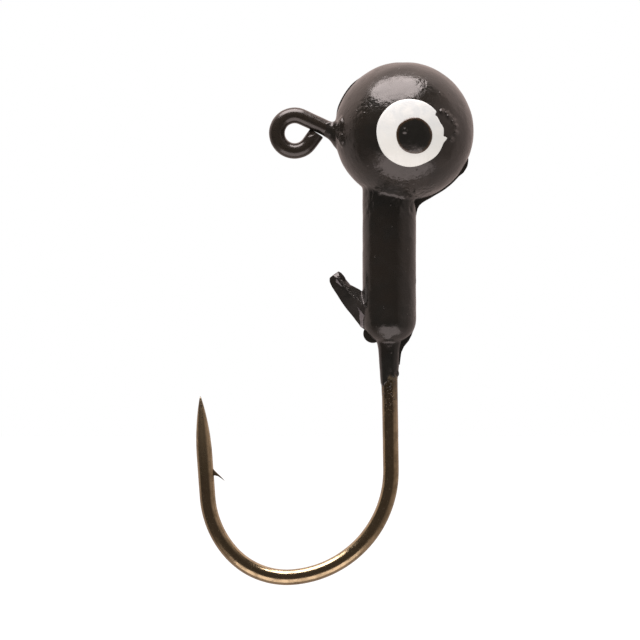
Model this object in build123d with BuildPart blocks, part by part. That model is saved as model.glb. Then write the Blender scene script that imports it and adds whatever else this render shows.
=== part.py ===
from build123d import *
import math
import os

# A round-head fishing jig: a bent wire hook with a lead head cast round it, a coat of black
# paint over the lead, and a painted eye on each side. Millimetres, +Z up.
#
# The origin is the centre of the line eye. The hook lies in the XZ plane: the shank hangs
# down beside the eye at +X, and the bend brings the point back under the eye. The mould
# parted in the same plane, so the casting is the same on both sides of it.

# ---- Hook wire ---------------------------------------------------------------------------
wire_d = 1.12
wire_r = wire_d / 2

# Line eye, wound round a mandrel that leaves a narrow flat land on its inside.
eye_hole_d = 1.52
eye_land_depth = 0.03
eye_end_angle = -36.0       # where the ring straightens, anticlockwise from +X
eye_end_length = 0.85       # straight wire from there to the cut end, just under the leg
eye_leg_drop = 25.0         # slope of the leg from the eye down to the head, degrees

# Shank.
shank_x = 6.644             # distance from the eye to the shank's line, at the eye's level
shank_slant = 0.8           # the shank leans outwards as it goes down, degrees
leg_bend_r = 2.0            # bend between leg and shank, inside the head
bend_start_z = -24.39       # where the shank ends and the hook's bend starts

# Hook bend: radius of the wire's centre line and turn in degrees, from shank to point.
bend_arcs = [(7.74, 86.4), (5.43, 54.0), (6.84, 36.3)]
point_leg_length = 7.31     # from the end of the bend to the tip
point_taper_length = 4.4
point_tip_r = 0.03

# Barb sliver raised from the inner side of the point leg, measured back from the tip.
barb_root_from_tip = 5.32
barb_heel_from_tip = 5.82
barb_tip_from_tip = 6.26
barb_stand_off = 0.76       # height of the barb's tip above the wire
barb_thickness = 0.36
barb_foot_r = 0.54          # its foot leaves the wire this far from the centre line
barb_sunk_r = 0.28          # and runs on inwards to here

# ---- Lead casting ------------------------------------------------------------------------
ball_d = 9.9
ball_forward = 1.08         # the ball's centre is this far beyond the collar's axis
ball_z = 0.115              # height of the ball's centre above the eye's centre
gate_cut = 0.05             # depth of the flat left where the pouring gate was trimmed
collar_d = 3.68
collar_end_z = -15.17
collar_end_round = 1.6
collar_end_flat = 0.09      # least radius of the flat left below that rounding
neck_fillet = 0.30          # between ball and collar

# Keeper barb: a blunt spike with a diamond section on the collar's eye side.
keeper_root_z = -13.2       # where its axis meets the collar's surface
keeper_lean = 53.0          # its axis above level, degrees
keeper_length = 3.5         # from the collar's surface to the tip, along its axis
keeper_sunk = 1.8           # how far its root runs on inside the collar
keeper_sunk_w = 0.57        # width at the sunk end
keeper_full_depth = 0.54    # how far inside the collar it reaches its full width
keeper_root_w = 1.42
keeper_tip_w = 1.0
keeper_tip_blunt = 0.35     # length of the blunted tip
keeper_nose_length = 0.10   # the last, steeper step of it
keeper_nose_w = 0.8         # width where that step starts
keeper_end_w = 0.5          # and where it ends
keeper_depth_share = 0.95   # thickness across the parting plane as a share of the width

# Parting flash: a thin fin round the ball, with webs in the corners.
flash_t = 0.10
flash_proud = 0.05
neck_web_w = 1.2            # reach of the web along the ball's underside
neck_web_h = 0.7            # and down the collar
end_web_turn = 40.0         # where the end web leaves the collar's rounded end, degrees
end_web_drop = 1.0          # its reach below the collar, down the shank
end_lobe_r = 0.58           # rounded lobe of flash under the keeper barb
end_lobe_inset = 0.05       # the lobe stops this far inside the collar's side
web_sunk = 0.05             # how far each web's corners run into the metal that they join

# ---- Paint -------------------------------------------------------------------------------
paint_t = 0.10
sleeve_end_z = -17.7        # where the paint that ran down the shank stops
sleeve_sunk = 0.2           # its film starts this far above the collar's rounded end
sleeve_top_t = 0.20
sleeve_end_t = 0.05
entry_length = 0.55         # paint drawn out along the leg where it leaves the ball
entry_flare_t = 0.30
entry_end_t = 0.06

eye_white_d = 4.80
pupil_d = 2.52
eye_paint_t = 0.06
eye_white_x = 0.415         # place of the painted eye on the ball, from the ball's centre
eye_white_z = -0.165
pupil_x = 0.70
pupil_z = -0.375

# ---- Derived places ----------------------------------------------------------------------
ring_r = eye_hole_d / 2 - eye_land_depth + wire_r
leg_angle = 90 - eye_leg_drop
leg_direction = Vector(math.cos(math.radians(-eye_leg_drop)), 0, math.sin(math.radians(-eye_leg_drop)))
leg_start = Vector(ring_r * math.cos(math.radians(leg_angle)), 0, ring_r * math.sin(math.radians(leg_angle)))
shank_direction = Vector(math.sin(math.radians(shank_slant)), 0, -math.cos(math.radians(shank_slant)))


def shank_point(z):
    """The point on the shank's centre line at height z."""
    return Vector(shank_x - z * math.tan(math.radians(shank_slant)), 0, z)


collar_x = shank_point(collar_end_z).X
ball_x = collar_x + ball_forward
ball_centre = (ball_x, 0, ball_z)
gate_z = ball_z + ball_d / 2 - gate_cut
poles_across = (90, 0, 0)   # turns a sphere so that its poles lie across the parting plane


# ---- Hook --------------------------------------------------------------------------------
def leg_corner():
    """Where the leg's line meets the shank's line."""
    along = Vector(shank_point(0)) - leg_start
    cross = leg_direction.X * shank_direction.Z - leg_direction.Z * shank_direction.X
    reach = (along.X * shank_direction.Z - along.Z * shank_direction.X) / cross
    return leg_start + leg_direction * reach


leg_turn = leg_direction.get_angle(shank_direction)
leg_end = leg_corner() - leg_direction * (leg_bend_r * math.tan(math.radians(leg_turn / 2)))

with BuildLine(Plane.XZ) as ring_path:
    ring = CenterArc((0, 0), ring_r, eye_end_angle, -(360 - leg_angle + eye_end_angle))
    cut_end = Line(ring @ 0, ring @ 0 - (ring % 0) * eye_end_length)

with BuildLine(Plane.XZ) as hook_path:
    leg = Line(leg_start, leg_end)
    shoulder = JernArc(leg @ 1, leg % 1, leg_bend_r, -leg_turn)
    shank = Line(shoulder @ 1, shank_point(bend_start_z))
    reached = shank
    for bend_r, bend_turn in bend_arcs:
        reached = JernArc(reached @ 1, reached % 1, bend_r, -bend_turn)
    point_leg = Line(reached @ 1, reached @ 1 + (reached % 1) * (point_leg_length - point_taper_length))

# The point leg's own plane: X runs to the tip, Y towards the inside of the hook.
taper_plane = Plane(point_leg @ 1, x_dir=point_leg % 1, z_dir=(0, 1, 0))

with BuildPart() as hook:
    with BuildSketch(Plane(ring_path.line @ 0, z_dir=ring_path.line % 0)):
        Circle(wire_r)
    sweep(path=ring_path.line)
    with BuildSketch(Plane(leg_start, z_dir=leg_direction)):
        Circle(wire_r)
    sweep(path=hook_path.line)
    with BuildSketch(taper_plane):
        with BuildLine():
            base = Line((0, 0), (0, wire_r))
            ogive = TangentArc(base @ 1, (point_taper_length, point_tip_r), tangent=(1, 0))
            Polyline(ogive @ 1, (point_taper_length, 0), (0, 0))
        make_face()
    revolve(axis=Axis(point_leg @ 1, point_leg % 1))
    with BuildSketch(taper_plane):
        Polygon(
            (point_taper_length - barb_root_from_tip, barb_sunk_r),
            (point_taper_length - barb_root_from_tip, barb_foot_r),
            (point_taper_length - barb_tip_from_tip, wire_r + barb_stand_off),
            (point_taper_length - barb_heel_from_tip, barb_foot_r),
            (point_taper_length - barb_heel_from_tip, barb_sunk_r),
            align=None,
        )
    extrude(amount=barb_thickness / 2, both=True)
    with BuildSketch(Plane.XZ):
        Circle(eye_hole_d / 2)
    extrude(amount=wire_d, both=True, mode=Mode.SUBTRACT)
hook.part.label = "hook"


# ---- Head --------------------------------------------------------------------------------
ball_r = ball_d / 2
collar_r = collar_d / 2
end_round = min(collar_end_round, collar_r - collar_end_flat)
dome_z = collar_end_z + end_round
neck_x = collar_x + collar_r


def ball_underside(x):
    """Height of the ball's lower surface in the parting plane."""
    return ball_z - math.sqrt(ball_r ** 2 - (x - ball_x) ** 2)


neck_z = ball_underside(neck_x)
keeper_direction = Vector(-math.cos(math.radians(keeper_lean)), 0, math.sin(math.radians(keeper_lean)))
keeper_root = Vector(collar_x - collar_r, 0, keeper_root_z)

# Distance along the keeper barb's axis from the collar's surface, and the width there.
keeper_sections = [
    (-keeper_sunk, keeper_sunk_w),
    (-keeper_full_depth, keeper_root_w),
    (keeper_length - keeper_tip_blunt, keeper_tip_w),
    (keeper_length - keeper_nose_length, keeper_nose_w),
    (keeper_length, keeper_end_w),
]


def keeper_section(along, width, grow):
    """One diamond section of the keeper barb, square to its axis."""
    half_w = width / 2 + grow * math.sqrt(2)
    half_t = width * keeper_depth_share / 2 + grow * math.sqrt(2)
    reach = along + grow if along > 0 else along
    place = Plane(keeper_root + keeper_direction * reach, x_dir=(0, 1, 0), z_dir=keeper_direction)
    with BuildSketch(place) as section:
        Polygon((half_t, 0), (0, half_w), (-half_t, 0), (0, -half_w), align=None)
    return section.sketch


def flash_outlines(grow):
    """The thin fin of lead between the mould's halves, as outlines in the parting plane."""
    fin_plane = Plane.XZ.offset(-flash_t / 2 - grow)
    web_x = neck_x + neck_web_w
    web_z = neck_z - neck_web_h - grow
    with BuildSketch(fin_plane) as ball_fin:
        with Locations((ball_x, ball_z)):
            Circle(ball_r + flash_proud + grow)
        with Locations((ball_x, gate_z + grow)):
            Rectangle(ball_d, ball_r, align=(Align.CENTER, Align.MIN), mode=Mode.SUBTRACT)
        with BuildLine():
            Polyline(
                (collar_x, web_z),
                (neck_x - web_sunk + grow, web_z),
                (web_x, ball_underside(web_x) + web_sunk - grow),
                (ball_x, ball_z),
                close=True,
            )
        make_face()

    dome_turn = math.radians(end_web_turn)
    shoulder_x = neck_x - end_round * (1 - math.cos(dome_turn)) - web_sunk
    shoulder_z = dome_z - end_round * math.sin(dome_turn)
    web_end_z = collar_end_z - end_web_drop
    with BuildSketch(fin_plane) as end_web:
        with BuildLine():
            Polyline(
                (collar_x, dome_z),
                (shoulder_x + grow, shoulder_z),
                (shank_point(web_end_z).X + wire_r - web_sunk + grow, web_end_z - grow),
                (collar_x, web_end_z - grow),
                close=True,
            )
        make_face()

    lobe_x = collar_x - collar_r + end_lobe_inset + end_lobe_r
    with BuildSketch(fin_plane) as end_lobe:
        with Locations((lobe_x, collar_end_z + end_lobe_r)):
            Circle(end_lobe_r + grow)
    return [ball_fin.sketch, end_web.sketch, end_lobe.sketch]


def head_outside(grow):
    """The casting's outside, or with grow the outside of a coat of that thickness."""
    with BuildPart() as shape:
        with Locations(ball_centre):
            Sphere(ball_r + grow, rotation=poles_across)
        split(bisect_by=Plane.XY.offset(gate_z + grow), keep=Keep.BOTTOM)
        with BuildSketch(Plane.XY.offset(ball_z)):
            with Locations((collar_x, 0)):
                Circle(collar_r + grow)
        extrude(amount=collar_end_z - grow - ball_z)
        collar_edge = shape.edges().filter_by(GeomType.CIRCLE).sort_by(Axis.Z)[0]
        fillet(collar_edge, end_round + grow)
        neck_edge = shape.edges().filter_by(GeomType.BSPLINE)
        fillet(neck_edge, neck_fillet - grow)
        loft([keeper_section(along, width, grow) for along, width in keeper_sections], ruled=True)
        for outline in flash_outlines(grow):
            extrude(outline, amount=flash_t + 2 * grow)
    return shape.part


bare_head = head_outside(0)
painted_head = head_outside(paint_t)

with BuildPart() as lead_head:
    add(bare_head)
    add(hook.part, mode=Mode.SUBTRACT)
lead_head.part.label = "lead_head"


# ---- Paint -------------------------------------------------------------------------------
def wire_film(start, end, start_t, end_t):
    """A tapering film of paint round a straight stretch of the wire, as a solid plug."""
    run = end - start
    with BuildPart() as film:
        with BuildSketch(Plane(start, x_dir=run, z_dir=(0, 1, 0))):
            Polygon((0, 0), (run.length, 0), (run.length, wire_r + end_t), (0, wire_r + start_t), align=None)
        revolve(axis=Axis(start, run))
    return film.part


def leg_entry():
    """Where the leg's centre line enters the painted ball."""
    to_ball = Vector(*ball_centre) - leg_start
    along = to_ball.dot(leg_direction)
    aside = (to_ball - leg_direction * along).length
    return leg_start + leg_direction * (along - math.sqrt((ball_r + paint_t) ** 2 - aside ** 2))


shank_film = wire_film(
    shank_point(dome_z + sleeve_sunk),
    shank_point(sleeve_end_z),
    sleeve_top_t * 2,
    sleeve_end_t,
)
leg_film = wire_film(
    leg_entry() + leg_direction * wire_d,
    leg_entry() - leg_direction * entry_length,
    entry_flare_t * 2,
    entry_end_t,
)

with BuildPart() as black_paint:
    add(painted_head)
    add(shank_film)
    add(leg_film)
    add(bare_head, mode=Mode.SUBTRACT)
    add(hook.part, mode=Mode.SUBTRACT)
black_paint.part.label = "black_paint"


def eye_disc(name, diameter, across, up, seat_r, side):
    """A disc of paint that lies on the ball, on the front with side 1 or the back with -1."""
    with BuildPart() as disc:
        with Locations(ball_centre):
            Sphere(seat_r + eye_paint_t, rotation=poles_across)
            Sphere(seat_r, rotation=poles_across, mode=Mode.SUBTRACT)
        with BuildSketch(Plane.XZ):
            with Locations((ball_x + across, ball_z + up)):
                Circle(diameter / 2)
        extrude(amount=side * ball_d, mode=Mode.INTERSECT)
    disc.part.label = name
    return disc.part


painted_r = ball_r + paint_t
eye_paints = []
for place, side in (("front", 1), ("back", -1)):
    eye_paints.append(eye_disc(f"{place}_eye_white", eye_white_d, eye_white_x, eye_white_z, painted_r, side))
    pupil_seat_r = painted_r + eye_paint_t
    eye_paints.append(eye_disc(f"{place}_pupil", pupil_d, pupil_x, pupil_z, pupil_seat_r, side))

# ---- Write the parts ---------------------------------------------------------------------
os.makedirs("parts", exist_ok=True)
for piece in [hook.part, lead_head.part, black_paint.part] + eye_paints:
    export_step(piece, f"parts/{piece.label}.step")
    print(piece.label, piece.is_valid, round(piece.volume, 3), len(piece.solids()))
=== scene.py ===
import math

import bmesh
import bpy
import numpy as np
from mathutils import Matrix, Vector


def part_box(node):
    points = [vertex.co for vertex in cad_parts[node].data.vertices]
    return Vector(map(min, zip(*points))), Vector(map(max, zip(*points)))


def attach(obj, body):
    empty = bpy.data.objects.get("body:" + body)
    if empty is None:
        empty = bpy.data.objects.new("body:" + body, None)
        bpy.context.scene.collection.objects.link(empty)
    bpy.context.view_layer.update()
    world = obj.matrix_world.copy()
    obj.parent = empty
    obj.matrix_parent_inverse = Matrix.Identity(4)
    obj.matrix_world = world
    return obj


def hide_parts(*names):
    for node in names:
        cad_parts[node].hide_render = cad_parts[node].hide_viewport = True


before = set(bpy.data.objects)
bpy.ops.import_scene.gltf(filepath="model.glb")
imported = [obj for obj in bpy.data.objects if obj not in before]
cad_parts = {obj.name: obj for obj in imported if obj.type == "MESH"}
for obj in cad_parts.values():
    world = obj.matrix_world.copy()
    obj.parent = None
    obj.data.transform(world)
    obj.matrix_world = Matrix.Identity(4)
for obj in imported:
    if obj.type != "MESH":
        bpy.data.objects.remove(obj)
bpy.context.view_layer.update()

bl_info = {
    "name": "Round-head jig",
    "version": (1, 0, 0),
    "blender": (4, 5, 0),
    "location": "View3D > Sidebar > Jig",
    "description": "Builds a painted round-head fishing jig round its CAD frame",
    "category": "Add Mesh",
}

# The pieces are shaped on the bench at a thousand times life size, so that one unit is a
# millimetre there, and off_the_bench() brings each one down to metres when it is done.
BENCH = 1000.0

hook_low, hook_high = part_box("hook")
coat_low, coat_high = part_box("black_paint")

# ---- The wire's path, in millimetres and degrees -----------------------------------------
WIRE_SIDES = 32
RING_R = 1.29                # centre line of the line eye
RING_START = -36.0           # where the ring's bent-back end meets the ring
RING_TAIL = 0.90             # straight wire before the ring, up to the leg's underside
NIP_SPARE = 0.3              # cut off the tail's end
NIP_TURN = 57.0              # heading of the cut's face
NIP_FACET_IN = 0.40          # how far out from the wire's middle the ground facet starts
NIP_FACET_LEAN = 0.33        # how far the facet leans towards the cut's face
# The rim and the dish of the cut's face: how wide each step is, and how far it stands out.
NIP_STEPS = [(0.08, 0.05), (0.20, -0.06)]
LEG_DROP = 25.0
SHANK_X = 6.644              # the shank's line at the line eye's level
SHANK_SLANT = 0.8
SHOULDER_R = 2.0
BEND_START_Z = -24.39
BEND_ARCS = [(7.74, 86.4), (5.43, 54.0), (6.84, 36.3)]
POINT_LEG = 7.31
POINT_TAPER = 4.4
POINT_TIP_R = 0.03
LACQUER = 0.015              # the lacquer's thickness
BARB_ROOT = 5.32             # the barb's root and heel, back from the tip
BARB_HEEL = 5.82
# Each step of the raised barb: how far back, how far up, length kept and width kept.
BARB_STEPS = [
    (0.09, 0.13, 0.62, 0.94),
    (0.15, 0.20, 0.52, 0.90),
    (0.20, 0.21, 0.62, 0.84),
    (0.22, 0.20, 0.34, 0.60),
]
BARB_KEEPS_HIGH = 0.8        # height kept at each of those steps
BLADE_BAND = (0.93, 1.1)     # how far from the wire's middle the blade's faces are, in its radius
# How many steps the runs and bends of the wire are made in.
TAIL_STEPS = 8
RING_STEPS = 54
LEG_STEPS = 20
SHOULDER_STEPS = 14
SHANK_STEPS = 40
TAPER_STEPS = 26
BEND_STEP_TURN = 2.6         # degrees to a step of the hook's bend, which has at least 12 steps

# ---- The painted head, in millimetres ----------------------------------------------------
BALL_CENTRE = Vector((7.936, 0.0, 0.115))
GATE_FLAT_Z = 5.12
COLLAR_X = 6.866
COLLAR_END_Z = -15.27
COLLAR_END_ROUND = 1.72
COAT_OVER_KEEPER = 0.05      # how far the ball's coat lies inside the keeper's own skin
KEEPER_ROOT = Vector((5.031, 0.0, -13.2))
KEEPER_LEAN = 53.0
# Diamond sections of the keeper barb: distance along it, reach of its upper edge, height of
# its side ridges, reach of its lower edge and half its thickness.
KEEPER_SECTIONS = [
    (-1.80, 0.60, 0.20, 0.35, 0.40),
    (-0.60, 1.00, 0.42, 0.72, 1.02),
    (0.40, 1.02, 0.46, 0.75, 0.98),
    (1.00, 1.00, 0.34, 0.77, 0.90),
    (1.65, 0.90, 0.20, 0.76, 0.80),
    (2.05, 0.70, 0.16, 0.73, 0.72),
    (2.43, 0.51, 0.14, 0.70, 0.65),
    (2.76, 0.49, 0.15, 0.68, 0.60),
    (3.02, 0.57, 0.17, 0.67, 0.58),
    (3.45, 0.55, 0.16, 0.57, 0.52),
    (3.66, 0.46, 0.08, 0.40, 0.36),
]
# The bevel on each side of the keeper's tip: a point on its plane and the plane's direction,
# up from the axis, out to the side and along it.
TIP_BEVEL_AT = (0.15, 0.33, 3.44)
TIP_BEVEL_FACING = (0.27, 0.765, 0.58)
# Beads of paint along the keeper's ridge: how many, the first one's place and the step.
RIDGE_BEADS = 24
RIDGE_BEAD_START = 0.35
RIDGE_BEAD_STEP = 0.13
# Films of paint run out on the wire: place along it, on the shank also aside, and radius.
SHANK_FILM = [
    (-14.2, 0.0, 1.0), (-15.2, 0.02, 0.92), (-15.7, -0.01, 0.80), (-16.3, -0.02, 0.75), (-17.0, -0.02, 0.71),
    (-17.55, -0.02, 0.645),
]
LEG_FILM = [(3.5, 1.15), (3.0, 0.98), (2.74, 0.80), (2.47, 0.66), (2.15, 0.61), (1.8, 0.58)]
# Lumps and drips of thick paint: what each is on, how far along it, its offset from there,
# its radius and its stretch.
LUMPS = [
    ("leg", 2.62, (0.10, -0.42, 0.52), 0.26, (0.8, 1, 1.3)),
    ("leg", 2.75, (0.05, -0.72, 0.05), 0.30, (0.7, 1, 1.2)),
    ("leg", 2.90, (0.02, -0.40, -0.55), 0.30, (0.9, 1, 1.5)),
    ("ball", 0.0, (-4.45, -1.98, 0.42), 0.50, (0.8, 0.95, 1.3)),
    ("ball", 0.0, (-4.38, -2.05, -0.50), 0.50, (0.85, 0.95, 1.4)),
    ("ball", 0.0, (-4.62, -1.55, -0.05), 0.50, (0.8, 1.0, 1.8)),
    ("leg", 2.20, (0, -0.34, 0.50), 0.13, (1, 1, 1)),
    ("leg", 2.02, (0, -0.44, 0.40), 0.11, (1, 1, 1)),
    ("leg", 2.40, (0, -0.28, 0.60), 0.12, (1, 1, 1)),
    ("leg", 2.70, (0.05, 0.45, 0.48), 0.28, (1, 1, 1)),
    ("leg", 2.72, (0.05, 0.52, -0.5), 0.30, (1, 1, 1)),
    ("collar", -10.7, (1.86, -0.25, 0), 0.16, (0.7, 1, 2.4)),
    ("collar", -14.85, (-0.15, -1.15, 0), 0.30, (1.2, 1, 0.6)),
    ("collar", -15.35, (-0.05, -0.76, 0), 0.16, (1, 1, 1)),
    ("shank", -17.45, (0.58, -0.15, 0), 0.17, (0.8, 1, 1.5)),
    ("shank", -17.62, (0.30, -0.50, 0), 0.14, (1, 1, 1)),
    ("shank", -18.20, (-0.53, 0, 0), 0.12, (0.65, 1.6, 10)),
    ("shank", -18.40, (0.02, -0.54, 0), 0.12, (1, 1, 1)),
    ("shank", -18.00, (-0.20, -0.50, 0), 0.10, (1, 1, 1)),
    ("collar", -4.95, (0.62, -1.72, 0), 0.16, (1, 0.7, 1.4)),
    ("collar", -4.75, (0.95, -1.58, 0), 0.14, (1, 1, 1)),
    ("collar", -5.15, (1.20, -1.38, 0), 0.12, (1, 1, 1)),
    ("collar", -4.80, (0.30, -1.82, 0), 0.12, (1, 1, 1)),
]
PAINT_VOXEL = 0.088
# Pitted patches of the ball's paint: across and up from the ball's centre, size and strength.
PITS = [
    (1.49, 3.28, 0.50, 1.1), (0.91, 3.70, 0.40, 0.8), (0.47, 2.48, 0.35, 0.5), (-1.34, 1.97, 0.55, 0.7),
    (-2.00, 2.05, 0.50, 0.8), (-2.87, 1.68, 0.50, 1.4), (-3.00, 1.17, 0.45, 1.4), (-2.36, 2.26, 0.35, 1.0),
    (2.07, 1.68, 0.35, 1.2), (2.72, 1.39, 0.18, 3.2), (3.20, 1.03, 0.16, 3.4), (3.52, 0.70, 0.15, 3.2),
    (3.68, 0.35, 0.15, 3.0), (3.73, -0.13, 0.15, 2.6), (3.40, -0.64, 0.15, 2.6), (3.05, 1.30, 0.14, 3.0),
    (-1.63, -3.10, 0.28, 1.6), (-1.05, -3.40, 0.28, 1.6), (-0.40, -3.60, 0.28, 1.8), (0.25, -3.60, 0.28, 1.8),
    (0.90, -3.47, 0.28, 1.6), (0.0, -4.20, 0.55, 1.0), (1.10, -4.30, 0.60, 1.0), (2.00, -4.10, 0.40, 1.0),
    (-4.55, 0.45, 0.35, 1.6), (-4.50, -0.50, 0.40, 1.6),
]

# ---- The parting flash, in millimetres and degrees ---------------------------------------
FIN_SUNK = 0.12              # how deep the fin lies in the ball where it doesn't show
# Where the fin stands proud of the ball: the angles between which it rises, the angles
# between which it ends, and how far it stands out.
FIN_PARTS = [(116, 140, 158, 178, 0.20), (-40, -34, -24, -19, 0.11), (-84, -70, -30, -20, 0.21)]
FIN_STEPS = 240
FIN_THICK = 0.22
WEB_THICK = 0.26
NECK_WEB = [
    (8.0, -3.4), (10.9, -3.9), (10.35, -4.42), (9.85, -4.72), (9.50, -4.91), (9.22, -5.09), (9.05, -5.26),
    (8.93, -5.47), (8.86, -5.75), (8.80, -6.1), (8.0, -6.3),
]
END_WEB = [
    (6.9, -13.2), (8.60, -13.5), (8.68, -13.96), (8.61, -14.32), (8.49, -14.66), (8.28, -15.07),
    (7.93, -15.50), (7.74, -15.92), (7.68, -16.35), (7.63, -16.8), (6.9, -17.0),
]
LOBE_AT = (5.67, -14.55)
LOBE_R = (0.70, 0.68)
LOBE_THICK = 0.34

# ---- The painted eyes, in millimetres ----------------------------------------------------
WHITE_OFF = (0.415, -0.165)  # across and up from the ball's centre
PUPIL_OFF = (0.70, -0.375)
EYE_FILM = 0.06
WHITE_DOME = 0.02
PUPIL_DOME = 0.015
PUPIL_DRIP = 0.12            # height, radius and place of the drip on a pupil
DRIP_R = 0.20
DRIP_OFF = (-0.70, 0.36)
DISC_SIDES = 360
DISC_RINGS = [0.985, 0.96, 0.92, 0.87, 0.81, 0.74, 0.67, 0.60, 0.52, 0.44, 0.36, 0.27, 0.18, 0.09]
OFF_THE_BALL = 8.0           # how far out a disc is drawn before it is laid on the ball

# ---- The stage, in metres and degrees ----------------------------------------------------
FLOOR_SIZE = 6.0
FLOOR_Z = -0.055
OVERHEAD = {"place": (-0.062, -0.069, 0.30), "turn": (0, 0, 0), "size": (0.355, 0.268), "radiance": 9.0,
            "colour": (1.0, 0.88, 0.86)}
REFLECTOR = {"place": (0.008, -0.215, -0.30), "turn": (180, 0, 0), "size": (0.468, 0.37), "radiance": 1.75,
             "colour": (1.0, 0.86, 0.84)}
FILL = 0.71                  # the surroundings' light on dull surfaces
WALL_DARK = 0.09             # what a shiny surface mirrors in front and on the left
WALL_TINT = (1.0, 0.80, 0.74, 1)
CAMERA_AT = (0.001836, -0.774, -0.01356)
LENS_MM = 600.0
SENSOR_MM = 36.0


# ---- Bench helpers -----------------------------------------------------------------------
def only(piece):
    """Makes one piece the active and only selected object."""
    if bpy.context.object and bpy.context.object.mode != "OBJECT":
        bpy.ops.object.mode_set(mode="OBJECT")
    bpy.ops.object.select_all(action="DESELECT")
    piece.select_set(True)
    bpy.context.view_layer.objects.active = piece
    return piece


def clear_bench():
    """Deselects everything, so that a new primitive is alone in the selection."""
    if bpy.context.object and bpy.context.object.mode != "OBJECT":
        bpy.ops.object.mode_set(mode="OBJECT")
    bpy.ops.object.select_all(action="DESELECT")


def settle(name=None):
    """Applies the new primitive's transform and opens it in edit mode with nothing picked."""
    piece = bpy.context.object
    if name:
        piece.name = name
        piece.data.name = name
    bpy.ops.object.transform_apply(location=True, rotation=True, scale=True)
    bpy.ops.object.mode_set(mode="EDIT")
    bpy.ops.mesh.select_all(action="DESELECT")
    return piece


def pick(piece, kind, test):
    """Selects the vertices, edges or faces of the piece in edit mode that pass a test."""
    bpy.ops.mesh.select_all(action="DESELECT")
    bpy.ops.mesh.select_mode(type=kind)
    shape = bmesh.from_edit_mesh(piece.data)
    items = {"VERT": shape.verts, "EDGE": shape.edges, "FACE": shape.faces}[kind]
    for item in items:
        if test(item):
            item.select_set(True)
    shape.select_flush_mode()
    bmesh.update_edit_mesh(piece.data)


def middle(item):
    """The middle of an edge."""
    return (item.verts[0].co + item.verts[1].co) / 2


def fix_normals():
    """Merges doubles, turns every face outwards and leaves edit mode."""
    bpy.ops.mesh.select_all(action="SELECT")
    bpy.ops.mesh.remove_doubles(threshold=0.0005)
    bpy.ops.mesh.normals_make_consistent(inside=False)
    bpy.ops.object.mode_set(mode="OBJECT")


def work(piece, kind, **settings):
    """Adds a modifier with its settings and applies it."""
    only(piece)
    modifier = piece.modifiers.new(kind.title(), kind)
    for key, value in settings.items():
        setattr(modifier, key, value)
    bpy.ops.object.modifier_apply(modifier=modifier.name)


def clouds(name, size, depth=2):
    """A cloud pattern of the given grain, for displacing a surface."""
    pattern = bpy.data.textures.new(name, "CLOUDS")
    pattern.noise_scale = size
    pattern.noise_depth = depth
    return pattern


def weigh(piece, name, weight):
    """Adds a vertex group whose weights come from a function of the vertex's place."""
    group = piece.vertex_groups.new(name=name)
    for vertex in piece.data.vertices:
        amount = weight(vertex.co)
        if amount > 0:
            group.add([vertex.index], min(amount, 1.0), "REPLACE")


def smooth_step(low, high, value):
    """0 below low, 1 above high, and a smooth rise between them."""
    share = min(max((value - low) / (high - low), 0.0), 1.0)
    return share * share * (3 - 2 * share)


def swell(start, full, ebb, end, value):
    """A smooth rise from start to full and a smooth fall from ebb to end, 1 between them."""
    return smooth_step(start, full, value) * (1 - smooth_step(ebb, end, value))


def heading_of(degrees):
    """The direction in the hook's plane at an angle up from +X."""
    turn = math.radians(degrees)
    return Vector((math.cos(turn), 0, math.sin(turn)))


def off_the_bench(piece, material, slot, *nodes):
    """Brings a finished piece down to life size and puts it in the frame."""
    only(piece)
    piece.scale = (1 / BENCH, 1 / BENCH, 1 / BENCH)
    bpy.ops.object.transform_apply(location=True, rotation=True, scale=True)
    piece.data.materials.clear()
    piece.data.materials.append(material)
    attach(piece, "root")
    if nodes:
        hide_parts(*nodes)


# ---- Materials ---------------------------------------------------------------------------
def add_node(tree, kind, settings=None, **sockets):
    """A node whose sockets, named or numbered as in i0, take values or other nodes' outputs."""
    new = tree.nodes.new(kind)
    for key, value in (settings or {}).items():
        setattr(new, key, value)
    for socket, value in sockets.items():
        numbered = socket[0] == "i" and socket[1:].isdigit()
        target = new.inputs[int(socket[1:]) if numbered else socket.replace("_", " ")]
        if isinstance(value, bpy.types.NodeSocket):
            tree.links.new(value, target)
        else:
            target.default_value = value
    return new


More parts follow.
